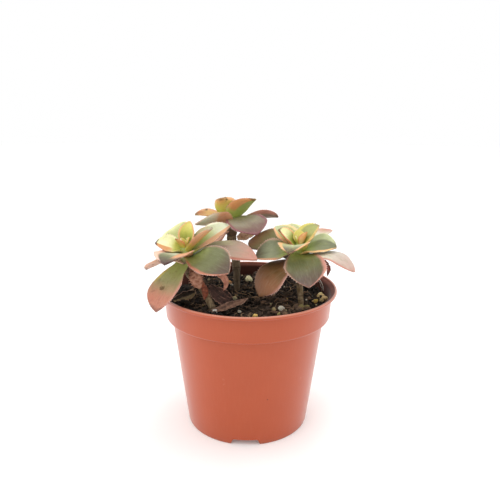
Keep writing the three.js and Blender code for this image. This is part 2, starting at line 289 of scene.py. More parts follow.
# %% Set the floor and the light
FLOOR_RADIUS = 2500
rim = [
    (FLOOR_RADIUS * math.cos(a), FLOOR_RADIUS * math.sin(a), -0.05)
    for a in np.linspace(0, 2 * math.pi, 96, endpoint=False)
]
floor = new_piece("floor", rim, [list(range(96))])
material, start = new_finish("pale table top")
cloud = start.where().clouds(0.05)
close_finish(start, cloud.between(paint("f4f3f1"), paint("f8f7f6")), 0.6 + 0.1 * cloud,
             Emission_Color=(1, 1, 1, 1), Emission_Strength=0.1)
floor.data.materials.append(material)
floor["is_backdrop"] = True

world = bpy.data.worlds.new("white room")
world.use_nodes = True
world.node_tree.nodes["Background"].inputs["Color"].default_value = (1, 1, 1, 1)
world.node_tree.nodes["Background"].inputs["Strength"].default_value = 1.0
bpy.context.scene.world = world
bpy.context.scene.view_settings.view_transform = "Standard"


def soft_lamp(name, place, aim, size, power, colour=(1, 1, 1)):
    light = bpy.data.lights.new(name, "AREA")
    light.size = size
    light.energy = power
    light.color = colour
    lamp = bpy.data.objects.new(name, light)
    bpy.context.scene.collection.objects.link(lamp)
    lamp.location = place
    lamp.rotation_euler = (Vector(aim) - Vector(place)).to_track_quat("-Z", "Y").to_euler()
    return lamp


soft_lamp("window", (-0.35, -0.45, 0.75), (0, 0, 0.08), 0.45, 1.4)
soft_lamp("top light", (0.1, 0.1, 0.8), (0, 0, 0.1), 0.4, 1.6)
soft_lamp("left wall", (-0.7, 0.05, 0.2), (0, 0, 0.06), 0.6, 1.3)
soft_lamp("right wall", (0.7, 0.05, 0.2), (0, 0, 0.06), 0.6, 1.15)

# %% [markdown]
# ## Noise for uneven shapes
# Grown and crumbled things are never smooth. Repeatable noise, read at each point, moves points
# by a fraction of a millimetre. The random numbers start from a fixed seed, so that the plant
# comes out the same every time.

# %% Add helpers for uneven shapes


def rough(points, size, octaves=3, shift=0.0):
    """Smooth noise between about -1 and 1, with bumps of about that size."""
    away = Vector((shift, shift * 1.7, shift * 2.3))
    return np.array([
        noise.fractal(Vector(p) / size + away, 0.8, 2.0, octaves) for p in np.atleast_2d(points)
    ])


def unit(vector):
    vector = np.asarray(vector, float)
    return vector / np.maximum(np.linalg.norm(vector, axis=-1, keepdims=True), 1e-12)


def smooth_path(stations, count):
    """Evenly spaced points and directions on a smooth curve through the stations."""
    p = np.array(stations, float)
    p = np.vstack([2 * p[0] - p[1], p, 2 * p[-1] - p[-2]])
    dense = []
    for i in range(1, len(p) - 2):
        p0, p1, p2, p3 = p[i - 1:i + 3]
        t1 = np.linalg.norm(p1 - p0) ** 0.5
        t2 = t1 + np.linalg.norm(p2 - p1) ** 0.5
        t3 = t2 + np.linalg.norm(p3 - p2) ** 0.5
        t = np.linspace(t1, t2, 60, endpoint=i == len(p) - 3)[:, None]
        a1 = (t1 - t) / t1 * p0 + t / t1 * p1
        a2 = (t2 - t) / (t2 - t1) * p1 + (t - t1) / (t2 - t1) * p2
        a3 = (t3 - t) / (t3 - t2) * p2 + (t - t2) / (t3 - t2) * p3
        b1 = (t2 - t) / t2 * a1 + t / t2 * a2
        b2 = (t3 - t) / (t3 - t1) * a2 + (t - t1) / (t3 - t1) * a3
        dense.append((t2 - t) / (t2 - t1) * b1 + (t - t1) / (t2 - t1) * b2)
    dense = np.vstack(dense)
    travel = np.concatenate([[0], np.cumsum(np.linalg.norm(np.diff(dense, axis=0), axis=1))])
    even = np.linspace(0, travel[-1], count)
    points = np.stack([np.interp(even, travel, dense[:, k]) for k in range(3)], 1)
    return points, unit(np.gradient(points, axis=0))


def tube_faces(rings, sides, start=0):
    """Faces of a closed tube made of rings of points, with both ends capped."""
    at = lambda i, j: start + i * sides + j % sides
    faces = [
        [at(i, j), at(i, j + 1), at(i + 1, j + 1), at(i + 1, j)]
        for i in range(rings - 1) for j in range(sides)
    ]
    faces.append([at(0, j) for j in reversed(range(sides))])
    faces.append([at(rings - 1, j) for j in range(sides)])
    return faces


print("noise at the crown:", rough([(0, 0, 100)], 10).round(3))

# %% [markdown]
# ## The pot
# A thin-walled, turned shape is easiest as an outline of radius and height spun round the axis.
# The outline runs up the wall, over the rolled lip and down inside. Each corner is rounded
# a little, because moulded plastic has no knife edge. The three notches in the foot and the drain
# holes are cut afterwards, since they aren't turned.

# %% Spin the pot
POT_OUTLINE = [
    (36.4, 0), (36.7, 0.8), (45.2, 66.2), (45.5, 67), (46.3, 67.3), (48.2, 67.4), (48.7, 68),
    (49.6, 80.8), (50, 81.5), (51.8, 81.8), (52.3, 82.2), (52.5, 83), (52.2, 83.7), (51.7, 84),
    (51.2, 83.7), (50.8, 83), (49.2, 82.4), (48.5, 81.6), (47.6, 69.8), (47, 68.8), (44.8, 68.4),
    (44.1, 66.6), (35.6, 5.6), (35, 5), (0, 5), (0, 3.6), (34.2, 3.6), (34.5, 0),
]
POT_SECTORS = 240
NOTCH = [(-8.4, -1), (8.4, -1), (8.2, 0.6), (7.3, 2.9), (6.6, 3.4), (-6.6, 3.4), (-7.3, 2.9), (-8.2, 0.6)]
NOTCH_ANGLES = (-91.5, 28.5, 148.5)
FOOT_RING = (31.5, 39.5)
DRAIN_COUNT = 6
DRAIN_RING = 24
DRAIN_RADIUS = 4
DRAIN_HEIGHTS = (2.3, 6.3)


def rounded(outline, radius):
    """The outline with each corner off the axis turned into a small curve."""
    smooth = []
    for k, corner in enumerate(outline):
        corner = np.array(corner, float)
        before = np.array(outline[k - 1], float) - corner
        after = np.array(outline[(k + 1) % len(outline)], float) - corner
        if corner[0] == 0:
            smooth.append(corner)
            continue
        reach = min(radius, 0.4 * np.linalg.norm(before), 0.4 * np.linalg.norm(after))
        first = corner + unit(before) * reach
        last = corner + unit(after) * reach
        for t in (0, 0.33, 0.67, 1):
            smooth.append((1 - t) ** 2 * first + 2 * t * (1 - t) * corner + t * t * last)
    return np.array(smooth)


def spun(outline, sectors):
    """Points and faces of a closed outline turned round the upright axis."""
    points, rows, faces = [], [], []
    turn = np.linspace(0, 2 * math.pi, sectors, endpoint=False)
    for r, z in outline:
        if r == 0:
            rows.append([len(points)] * sectors)
            points.append((0, 0, z))
        else:
            rows.append(list(range(len(points), len(points) + sectors)))
            points += [(r * math.cos(a), r * math.sin(a), z) for a in turn]
    for k in range(len(rows)):
        low, high = rows[k], rows[(k + 1) % len(rows)]
        if low[0] == low[1] and high[0] == high[1]:
            continue
        for j in range(sectors):
            n = (j + 1) % sectors
            ring = [low[j], low[n], high[n], high[j]]
            faces.append(list(dict.fromkeys(ring)))
    return points, faces


def cut(piece, points, faces):
    """Takes the space of these closed shapes out of the piece."""
    tool = new_piece("cutter", points, faces)
    change = piece.modifiers.new("cut", "BOOLEAN")
    change.operation = "DIFFERENCE"
    change.solver = "EXACT"
    change.object = tool
    graph = bpy.context.evaluated_depsgraph_get()
    shaped = bpy.data.meshes.new_from_object(piece.evaluated_get(graph))
    piece.modifiers.clear()
    piece.data = shaped
    bpy.data.objects.remove(tool)


pot = new_piece("nursery_pot", *spun(rounded(POT_OUTLINE, 0.35), POT_SECTORS))
cutters = Heap()
for angle in NOTCH_ANGLES:
    out = np.array([math.cos(math.radians(angle)), math.sin(math.radians(angle)), 0])
    across = np.array([-out[1], out[0], 0])
    ends = [out * r + across * x + np.array([0, 0, z]) for r in FOOT_RING for x, z in NOTCH]
    cutters.add(ends, tube_faces(2, len(NOTCH)))
ring = np.linspace(0, 2 * math.pi, 32, endpoint=False)
for i in range(DRAIN_COUNT + 1):
    angle = math.radians(360 / DRAIN_COUNT * i + 28.5)
    reach = 0 if i == DRAIN_COUNT else DRAIN_RING
    x, y = reach * math.cos(angle), reach * math.sin(angle)
    ends = [
        (x + DRAIN_RADIUS * math.cos(a), y + DRAIN_RADIUS * math.sin(a), z)
        for z in DRAIN_HEIGHTS for a in ring
    ]
    cutters.add(ends, tube_faces(2, len(ring)))
cut(pot, np.concatenate(cutters.points), cutters.faces)
pot.data.shade_smooth()
pot.data.set_sharp_from_angle(angle=math.radians(38))
print("pot points:", len(pot.data.vertices))

# %% [markdown]
# The plastic is terracotta-coloured polypropylene: even in colour, half glossy, with a faint
# ripple from the mould and fine upright flow lines. The top of the lip is painted paler, a painted
# highlight along the rim, and a few specks of soil stick to the wall. Inside, above the soil, the
# wall is made nearly black: partly a dull film of dried dirt and partly painted shade inside the
# pot, heavier towards the soil and darker towards the back. This layer hides the gloss, so the
# clear coat fades where it lies.

# %% Finish the pot
material, start = new_finish("terracotta plastic")
spot = start.where()
height = spot.part(2) * 1000
radius = (spot.part(0) ** 2 + spot.part(1) ** 2) ** 0.5 * 1000
cloud = spot.clouds(0.018, 4)
flow = spot.stretched(1, 1, 0.06).clouds(0.0016, 2)
grain = spot.clouds(0.0005, 2)
plastic = cloud.between(paint("a54520"), paint("ae4c26"))
plastic = plastic.tinted((flow - 0.5).size() * 0.12, paint("cf7a5e"))
scuff = spot.stretched(1, 1, 0.25).clouds(0.006, 5, 0.7).step(0.66, 0.74)
plastic = plastic.tinted(scuff * 0.22, paint("dca189"))
middle_of_wall = 48.1 + (height - 68) * 0.07 + 2 * height.step(81.2, 82.6)
inside = (middle_of_wall - radius).step(-0.2, 0.2) * height.step(68.6, 69.4)
# The inside wall above the soil is made nearly black: partly a film of dirt and partly painted shade, darker
# towards the back.
dirt_and_shade_film = inside * (1 - (height + 3 * spot.clouds(0.004, 4)).step(82.5, 87) * 0.4)
# The top of the lip is made paler here: a painted highlight along the rim.
plastic = plastic.tinted((1 - inside) * height.step(82.7, 83.7) * 0.35, paint("e3b09a"))
dirt_and_shade_tone = spot.part(1).step(0.022, 0.038).between(paint("3a1f18"), paint("1d1511"))
plastic = plastic.tinted(dirt_and_shade_film * 0.9, dirt_and_shade_tone)
specks = spot.cells(0.011).step(0.045, 0.03) * spot.clouds(0.03, 2).step(0.46, 0.52)
plastic = plastic.tinted(specks * 0.7, paint("4a2a1c"))
foot = (1 - (height + 3 * spot.clouds(0.003)).step(1.5, 5)) * 0.25
plastic = plastic.tinted(foot, paint("8a5a45"))
close_finish(
    start, plastic, 0.36 + 0.12 * cloud + 0.4 * dirt_and_shade_film,
    0.5 * cloud + 0.25 * flow + 0.25 * grain, 0.00012, 0.5,
    Specular_IOR_Level=0.2, Subsurface_Weight=0.05, Subsurface_Scale=0.002,
    Coat_Weight=0.5 - 0.5 * dirt_and_shade_film, Coat_Roughness=0.2, Sheen_Weight=0.25, Sheen_Roughness=0.3,
)
pot.data.materials.append(material)
settle(pot, "pot_plastic", "pot")

# %% [markdown]
# ## The soil
# Potting mix is dark peat in crumbs of all sizes, with fibres, bits of bark and some pale grit.
# A single bumpy sheet looks like rubber, so the ground itself is only the lowest layer: a
# lumpy surface that closes into a plug down to the floor of the pot. The loose things lie on it.

# %% Shape the ground
SOIL_LEVEL = 77
MOUNDS = [(18, -15, 8, 2), (-20, -20, 8, 1), (5, 4, 4.5, -3.5)]


def ground(x, y):
    """Height of the soil at a place: low swells, two hills and a hollow."""
    x, y = np.asarray(x, float), np.asarray(y, float)
    z = SOIL_LEVEL + 0.7 * np.sin(0.23 * x + 1.3) * np.cos(0.19 * y - 0.4)
    z = z + 0.4 * np.sin(0.45 * x - 0.31 * y)
    for cx, cy, spread, rise in MOUNDS:
        z = z + rise * np.exp(-((x - cx) ** 2 + (y - cy) ** 2) / (2 * spread * spread))
    return z


RINGS, SECTORS = 74, 230
SOIL_RADIUS = 47.45
WALL = [(0, 5.3), (34.6, 5.3), (43.7, 66.4), (44.4, 68.9), (46.6, 69.4), (47.2, 70.2)]
turn = np.linspace(0, 2 * math.pi, SECTORS, endpoint=False)
points = [(0, 0, WALL[0][1])]
for r, z in WALL[1:]:
    points += [(r * math.cos(a), r * math.sin(a), z) for a in turn]
for k in range(RINGS):
    r = SOIL_RADIUS * (1 - k / RINGS)
    points += [(r * math.cos(a), r * math.sin(a), 0) for a in turn]
points.append((0, 0, 0))
points = np.array(points, float)
top = slice(1 + SECTORS * (len(WALL) - 1), None)
flat = points[top] * (1, 1, 0)
lumps = np.array([noise.turbulence(Vector(p) / 3.2, 4, False) for p in flat])
clods = np.array([noise.voronoi(Vector(p) / 4.6)[0][0] for p in flat])
points[top, 2] = ground(flat[:, 0], flat[:, 1]) - 1.0 + 1.5 * lumps - 1.1 * clods
rows = len(WALL) - 1 + RINGS
faces = tube_faces(rows, SECTORS, 1)[:-2]
for j in range(SECTORS):
    faces.append([0, 1 + (j + 1) % SECTORS, 1 + j])
    last = 1 + (rows - 1) * SECTORS
    faces.append([last + j, last + (j + 1) % SECTORS, len(points) - 1])
soil = new_piece("soil_ground", points, faces)
print("soil height:", points[top, 2].min().round(1), "to", points[top, 2].max().round(1))

# %% [markdown]
# Loose crumbs, bark and fibres share one finish that reads a colour kept on each
# bit, so hundreds of bits can differ while the piece stays one mesh. Each crumb starts as a ball of
# twenty faces, cut finer, then squashed and roughened. Two pale roots climb the wall at the right.

# %% Scatter crumbs, bark and fibres
dice = np.random.default_rng(41)
STEM_FEET = [(-18.5, -27), (30.5, -16), (-7, 15)]
CRUMBS, BITS_OF_BARK, FIBRES = 1150, 58, 210
IN_FRONT, BY_RIGHT_STEM = 16, 11


def ball(levels):
    """Points and faces of a round ball with even triangles."""
    form = bmesh.new()
    bmesh.ops.create_icosphere(form, subdivisions=levels, radius=1)
    made = np.array([v.co for v in form.verts]), [[v.index for v in f.verts] for f in form.faces]
    form.free()
    return made


BALLS = {levels: ball(levels) for levels in (1, 2, 3, 4)}


def lump(levels, size, shape, turned, bumps, number):
    """One uneven lump: a ball with noise on it, squashed and turned."""
    points, faces = BALLS[levels]
    swell = 1 + bumps * rough(points, 0.9, 3, number * 3.7)
    points = points * swell[:, None] * np.asarray(shape) * size / 2
    return points @ np.array(turned.to_matrix()).T, faces


def free_spot(limit, margin):
    """A random place on the soil, clear of the stems."""
    while True:
        a, r = dice.uniform(0, 2 * math.pi), limit * math.sqrt(dice.uniform())
        x, y = r * math.cos(a), r * math.sin(a)
        if all(math.hypot(x - sx, y - sy) > margin for sx, sy in STEM_FEET):
            return x, y


CRUMB_TONES = ["27211d", "302822", "221d1a", "3a2f27", "483a2f", "1c1917", "58483a", "6d5845"]
loose = Heap()
for number in range(CRUMBS):
    size = min(4.2, 0.7 + dice.gamma(1.6, 0.62))
    x, y = free_spot(46.6 - size / 2, 2.4 + size / 2)
    turned = Euler(dice.uniform(0, 6.28, 3))
    shape = (1, dice.uniform(0.6, 0.95), dice.uniform(0.5, 0.85))
    points, faces = lump(1 if size < 1.9 else 2, size, shape, turned, 0.35, number)
    z = ground(x, y) + size * dice.uniform(-0.05, 0.28) - 0.2
    tone = CRUMB_TONES[int(dice.integers(0, len(CRUMB_TONES)) * dice.uniform(0.5, 1))]
    loose.add(points + (x, y, z), faces, tone=paint(tone), kind=0.0)
print("crumbs:", CRUMBS, "points:", loose.count)

BARK_TONES = ["5f4837", "6f5643", "493930", "7a624c", "40342c"]
for number in range(BITS_OF_BARK):
    size = dice.uniform(2.4, 6.5)
    x, y = free_spot(44 - size / 2, 3 + size / 2)
    if number >= BITS_OF_BARK - BY_RIGHT_STEM:
        x, y = 25 + dice.normal(0, 5), -19 + dice.normal(0, 4)
    if number < IN_FRONT:
        x, y = 18 + dice.normal(0, 8), -24 + dice.normal(0, 6)
        inward = min(1, (44.5 - size / 2) / math.hypot(x, y))
        x, y = x * inward, y * inward
    turned = Euler((dice.normal(0, 0.35), dice.normal(0, 0.35), dice.uniform(0, 6.28)))
    shape = (1, dice.uniform(0.3, 0.6), dice.uniform(0.18, 0.35))
    points, faces = lump(2, size, shape, turned, 0.4, 2000 + number)
    points = points + (x, y, ground(x, y) + 0.5)
    tone = BARK_TONES[dice.integers(0, len(BARK_TONES))]
    loose.add(points, faces, tone=paint(tone), kind=1.0)


def strand(stations, radius, sides=5, count=10):
    """A thin fibre through the stations, finer at its ends."""
    path, along = smooth_path(stations, count)
    side = unit(np.cross(along, (0.31, 0.17, 0.93)))
    other = np.cross(along, side)
    thick = radius * np.sin(np.linspace(0.25, math.pi - 0.25, count)) ** 0.5
    rings = []
    for a in np.linspace(0, 2 * math.pi, sides, endpoint=False):
        rings.append(path + (side * math.cos(a) + other * math.sin(a)) * thick[:, None])
    return np.stack(rings, 1).reshape(-1, 3), tube_faces(count, sides)


FIBRE_TONES = ["574535", "755f4a", "392d24", "947b60", "685442"]
for number in range(FIBRES):
    length = dice.uniform(3, 11)
    x, y = free_spot(43 - length / 2, 3)
    heading = dice.uniform(0, 6.28)
    stations = []
    for k in range(4):
        heading += dice.normal(0, 0.5)
        reach = math.hypot(x, y)
        if reach > 46.2:
            x, y = x * 46.2 / reach, y * 46.2 / reach
        stations.append((x, y, float(ground(x, y)) + 0.3 + abs(dice.normal(0, 0.55))))
        x, y = x + math.cos(heading) * length / 3, y + math.sin(heading) * length / 3
    points, faces = strand(stations, dice.uniform(0.1, 0.26))
    tone = FIBRE_TONES[dice.integers(0, len(FIBRE_TONES))]
    loose.add(points, faces, tone=paint(tone), kind=1.0)
PALE_ROOTS = [
    (0.22, [(43.3, 10, 85), (44.3, 10.2, 83.7), (45.2, 10, 82.1), (46, 9.6, 79.8), (46.2, 9, 77.5)]),
    (0.12, [(43, 10.4, 83.6), (44, 10.6, 82.4), (44.4, 10, 80.8), (45.4, 9.4, 79.2), (45.2, 9, 77.5)]),
]
for thickness, stations in PALE_ROOTS:
    points, faces = strand(stations, thickness)
    loose.add(points, faces, tone=paint("d9d2c8"), kind=0.0)
litter = loose.piece("soil_crumbs")
print("loose bits in all, points:", loose.count)

# %% [markdown]
# Wet peat swallows light. Its finish is nearly black in the pits and brown on the high crumbs,
# and the roughness stays high. In front on the right the soil has begun to dry, and a dry crumb is
# paler and browner than a wet one. Both finishes ask the same helper where that patch lies.

# %% Finish the soil


def dried(spot):
    """1 in the middle of the patch that has begun to dry, and 0 away from it."""
    away = (spot.part(0) - 0.018) ** 2 + (spot.part(1) + 0.022) ** 2
    return 1 - away.step(0.00006, 0.0005)


material, start = new_finish("dark peat")
spot = start.where()
fine = spot.clouds(0.0009, 5, 0.7)
broad = spot.clouds(0.009, 3)
peat = fine.step(0.36, 0.7).between(paint("14110f"), paint("3a2f27"))
peat = peat.tinted(broad.step(0.5, 0.7) * 0.6, paint("5a4a3b"))
peat = peat.tinted(dried(spot) * 0.55, paint("57473a"))
close_finish(start, peat, 0.85 + 0.12 * fine, fine + 0.6 * spot.clouds(0.0003, 2), 0.0006, 0.9,
             Specular_IOR_Level=0.25)
soil.data.materials.append(material)
settle(soil, "soil", "soil")

material, start = new_finish("crumbs and bark")
spot = start.where()
tone = start.kept("tone", 0)
kind = start.kept("kind")
fine = spot.clouds(0.0007, 4, 0.7)
streak = spot.stretched(1, 0.25, 1).clouds(0.0005, 3)
bits = tone.lit(0.55 + 0.9 * fine)
bits = bits.tinted(kind * streak.step(0.5, 0.68) * 0.5, paint("a98660"))
bits = bits.tinted(spot.clouds(0.005).step(0.55, 0.75) * 0.35, paint("1a1310"))
bits = bits.tinted(dried(spot) * 0.35, paint("6a5647"))
close_finish(start, bits, 0.8 + 0.15 * fine, fine + streak, 0.0004, 0.8, Specular_IOR_Level=0.25)
litter.data.materials.append(material)
settle(litter, "soil", "soil")

# %% [markdown]
# ## The grit
# Pale stones lie in the peat: rounded bits of pumice and perlite, cream, tan or ochre, up to
# 5 mm across. Sixteen stand out and have their own places. The small ones are strewn. Pumice is
# full of pores, so the stones get a pitted surface, as shape on the large ones and as relief on all.

# %% Place the grit
GRIT = [
    (0.2, 30.2, 4.5, "d9cfa4"), (-12, 22.5, 3.1, "c98a4a"), (-10.3, 18.3, 1.6, "ddd6c4"),
    (-8, -4, 2.8, "b7ac84"), (-18.4, -28.8, 3.2, "e0ded6"), (-4.7, -27, 1.9, "b5ad98"),
    (3.9, -34.8, 3, "cfae62"), (18.4, -24.2, 3.6, "d6d0bc"), (17, -28.5, 2.2, "b5a468"),
    (14.5, -25, 2.4, "a08e62"), (33.4, -20, 3.2, "857c48"), (30, -20.4, 3.4, "8b8050"),
    (43.6, 0.6, 4.3, "e2c88e"), (45.2, -4.6, 3.6, "dcc08a"), (43, -8.6, 2.6, "c9ae7c"),
    (39.2, -11, 2.8, "c8a854"),
]
SMALL_STONES = 60
SMALL_TONES = ["b9a983", "d6cdb8", "a2885a", "bb9d6c", "91836c", "8a7a5e"]
stones = Heap()
for number, (x, y, size, tone) in enumerate(GRIT):
    shape = (1.08, 0.94, 0.84)
    points, faces = lump(4, size * 1.02, shape, Euler((0.3 * number, 0.2, x + y)), 0.28, 50 + number)
    pits = np.array([noise.voronoi(Vector(p) / 0.9 + Vector((number, 0, 0)))[0][0] for p in points])
    points = points * (1 - 0.10 * np.clip(1 - pits * 2.2, 0, 1))[:, None]
    stones.add(points + (x, y, float(ground(x, y)) + size * 0.14), faces, tone=paint(tone))
for number in range(SMALL_STONES):
    size = 0.6 + dice.gamma(1.6, 0.34)
    x, y = free_spot(46 - size, 3)
    points, faces = lump(2, size, (1, 0.9, 0.75), Euler(dice.uniform(0, 6, 3)), 0.3, 90 + number)
    tone = SMALL_TONES[dice.integers(0, len(SMALL_TONES))]
    stones.add(points + (x, y, float(ground(x, y)) + size * 0.3), faces, tone=paint(tone))
grit = stones.piece("soil_grit")

material, start = new_finish("pumice grit")
spot = start.where()
pores = spot.cells(0.0007)
stain = spot.clouds(0.0016, 4, 0.65)
stone = start.kept("tone", 0).lit(0.8 + 0.35 * stain)
stone = stone.tinted(stain.step(0.52, 0.7) * 0.5, paint("8f7243"))
stone = stone.tinted((1 - pores.step(0.1, 0.34)) * 0.28, paint("5a4630"))
close_finish(start, stone, 0.8 + 0.1 * stain, pores, 0.0003, 0.7, Subsurface_Weight=0.08,
             Subsurface_Scale=0.001)
grit.data.materials.append(material)
settle(grit, "soil", "soil")

# %% [markdown]
# ## Leaves, one rule for all
# A leaf of this plant is a thick spoon: narrow at the root, widest past the middle, with a short
# point. It could be sculpted, but thirty-nine leaves are easier as one rule with a row of
# numbers each: bearing, drop below the crown, length, width, lift at the root and at the tip,
# cup, roll, and where it is widest. The midline is summed up in small steps, and each
# cross-section is an arc that is thickest in the middle and round at its edges.

# %% Write the leaf rule
CROWNS = {
    "left": ((-35, -20, 112.5), (-0.15, 0, 1)),
    "right": ((28.6, -12, 112.5), (0, 0, 1)),
    "back": ((-10.5, 18, 123), (0, 0, 1)),
}
LEAF_ROWS = 52
HALF = 13
EDGE_THICKNESS = 0.62
MIDDLE_THICKNESS = 1.2
CREASE_DEPTH = 0.28


def width_share(s, widest, tip=0.035):
    """Share of the full half-width at a place along the leaf."""
    near = 0.42 + 0.58 * np.sin(np.pi / 2 * np.clip(s / widest, 0, 1)) ** 1.3
    q = np.clip((s - widest) / (1 - widest), 0, 1)
    return np.where(s < widest, near, np.maximum(tip, (1 - q * q) ** 0.8))


def midline(crown, row, s):
    """Points, directions, sides and faces of a leaf's midline."""
    bearing, drop, length, width, lift_root, lift_tip, cup, roll, widest = row
    turn = math.radians(bearing)
    outward = np.array([math.cos(turn), math.sin(turn), 0])
    top, lean = crown
    root = np.array(top, float) - unit(lean) * drop + outward * (1 + 0.12 * drop)
    fine = np.linspace(0, 1, 801)
    rise = np.radians(lift_root + (lift_tip - lift_root) * fine)
    out = np.concatenate([[0], np.cumsum((np.cos(rise[1:]) + np.cos(rise[:-1])) / 2)]) * length / 800
    up = np.concatenate([[0], np.cumsum((np.sin(rise[1:]) + np.sin(rise[:-1])) / 2)]) * length / 800
    points = root + np.interp(s, fine, out)[:, None] * outward
    points[:, 2] += np.interp(s, fine, up)
    lift = np.radians(lift_root + (lift_tip - lift_root) * s)[:, None]
    along = np.cos(lift) * outward + np.sin(lift) * np.array([0, 0, 1])
    side = np.array([-math.sin(turn), math.cos(turn), 0])
    face = np.cross(along, side)
    tilt = np.radians(roll) * np.minimum(1, s / 0.35)[:, None]
    return points, along, side * np.cos(tilt) + face * np.sin(tilt), face * np.cos(tilt) - side * np.sin(tilt)


def sections(middle, side, face, half_width, cup, across, above, below):
    """A ring of points for each cross-section: over the upper face, back under the lower."""
    arc = math.radians(cup if abs(cup) >= 1 else 1)
    v = across[None, :, None]
    half = half_width[:, None, None]
    point = middle[:, None] + side[:, None] * half * np.sin(arc * v) / arc
    point = point + face[:, None] * half * (1 - np.cos(arc * v)) / arc
    out = face[:, None] * np.cos(arc * v) - side[:, None] * np.sin(arc * v)
    upper = point + out * above[..., None]
    lower = point - out * below[..., None]
    return np.concatenate([upper, lower[:, -2:0:-1]], 1), out


ACROSS = np.sin(np.linspace(-np.pi / 2, np.pi / 2, 2 * HALF + 1))
print("points in one leaf ring:", 4 * HALF)

# %% [markdown]
# ## Small teeth and a soft wave
# Seen close, the margin carries a row of fine, soft teeth, about one each 1.1 mm, and the blade
# waves a little. The midline is slightly sunk. These are what make the leaf look grown, and
# they are small enough to keep the form of the plain solid.

# %% Grow one leaf
WAVES = ((9, 0.34), (17, 0.2))
TOOTH_SPACING = (0.8, 1.4)
TOOTH_REACH = (0.5, 1.0)


def grow_leaf(heap, crown, row, number, colours):
    """Adds one leaf and its teeth to the heap."""
    bearing, drop, length, width, lift_root, lift_tip, cup, roll, widest = row
    s = 1 - (1 - np.linspace(0, 1, LEAF_ROWS)) ** 1.25
    middle, along, side, face = midline(crown, row, s)
    half = width / 2 * width_share(s, widest)
    young = min(1, length / 20)
    luck = np.random.default_rng(number)
    phase = luck.uniform(0, 6.28, 4)
    grown = (width / 20) * np.sin(np.pi * np.clip(s * 1.1, 0, 1)) ** 0.5
    body = MIDDLE_THICKNESS * young * (1 - 0.5 * s)[:, None] * (1 - ACROSS ** 2)[None]
    round_edge = np.sqrt(np.clip(1 - np.abs(ACROSS) ** 14, 0, 1))[None]
    thick = (EDGE_THICKNESS + body) / 2 * round_edge
    crease = CREASE_DEPTH * young * np.exp(-(ACROSS / 0.09) ** 2)[None] * np.sin(np.pi * s)[:, None]
    ring, out = sections(middle, side, face, half, cup, ACROSS, thick - crease, thick)
    wave = sum(rise * np.sin(pace * s + p) for (pace, rise), p in zip(WAVES, phase[:2]))
    other = sum(rise * np.sin(pace * s + p) for (pace, rise), p in zip(WAVES, phase[2:]))
    lift = np.where(ACROSS[None] > 0, wave[:, None], other[:, None]) * np.abs(ACROSS)[None] ** 2.5
    lift = lift * grown[:, None]
    both = np.concatenate([lift, lift[:, -2:0:-1]], 1)
    outs = np.concatenate([out, out[:, -2:0:-1]], 1)
    ring = ring + outs * both[..., None]
    v = np.concatenate([ACROSS, ACROSS[-2:0:-1]])
    size = ring.shape[0] * ring.shape[1]
    upper = np.concatenate([np.ones(len(ACROSS)), np.zeros(len(ACROSS) - 2)])
    upper[[0, len(ACROSS) - 1]] = 0.5
    spread = np.stack(np.broadcast_arrays(
        s[:, None] * length, v[None] * half[:, None], float(number) * 40), -1)
    same = lambda a: np.broadcast_to(a, ring.shape[:2]).reshape(size)
    heap.add(
        ring.reshape(-1, 3), tube_faces(*ring.shape[:2]),
        along=same(s[:, None]), across=same(v[None]), upper=same(upper[None]),
        spread=spread.reshape(-1, 3), **colours,
    )
    teeth = 0
    travel = 1.2
    while travel < length * 0.985 and length > 11:
        t = travel / length
        travel += luck.uniform(*TOOTH_SPACING)
        if t < 0.16:
            continue
        at = np.interp(t, s, np.arange(len(s)))
        low, part = int(at), at - int(at)
        for edge, column in ((1, len(ACROSS) - 1), (-1, 0)):
            here = ring[low, column] * (1 - part) + ring[min(low + 1, len(s) - 1), column] * part
            ahead = unit(ring[min(low + 2, len(s) - 1), column] - ring[max(low - 1, 0), column])
            outward = unit(here - (middle[low] * (1 - part) + middle[min(low + 1, len(s) - 1)] * part))
            reach = luck.uniform(*TOOTH_REACH) * min(1.0, width / 16)
            tip = here + unit(outward + 0.55 * ahead + luck.normal(0, 0.12, 3)) * reach
            up = np.cross(outward, ahead)
            inside = here - outward * 0.12
            base = [inside + ahead * 0.3, inside + up * 0.12, inside - ahead * 0.3, inside - up * 0.12]
            heap.add(
                np.vstack([base, [tip]]), [[0, 1, 4], [1, 2, 4], [2, 3, 4], [3, 0, 4], [3, 2, 1, 0]],
                along=t, across=1.3 * edge, upper=0.5,
                spread=np.array([travel, 1.3 * edge, number * 40.0]),
                **dict(colours, rim=paint("f0d8cc")),
            )
            teeth += 1
    return teeth


print("leaf rings:", LEAF_ROWS)

# %% [markdown]
# ## Every leaf has its own colours
# Young leaves are lemon yellow with a green middle, older ones turn grey-green, and the oldest
# blush pink, mauve or brown. The margins are peach, rose or crimson, broader on the side that had
# more sun. A picture could be wrapped round each leaf, but a few named colours are easier to
# read and to change. Each row names them from a small chart. First come the root, the middle and
# the end of the upper face, then the left and the right margin, the lower face, and the tip.
# A number says how far along the leaf the next colour starts. After a margin's colour it is
# the width, and then where the margin begins and ends. After the tip it is the strength. Some
# rows end with the colour of the outermost line and with a scar: its place and size in mm.

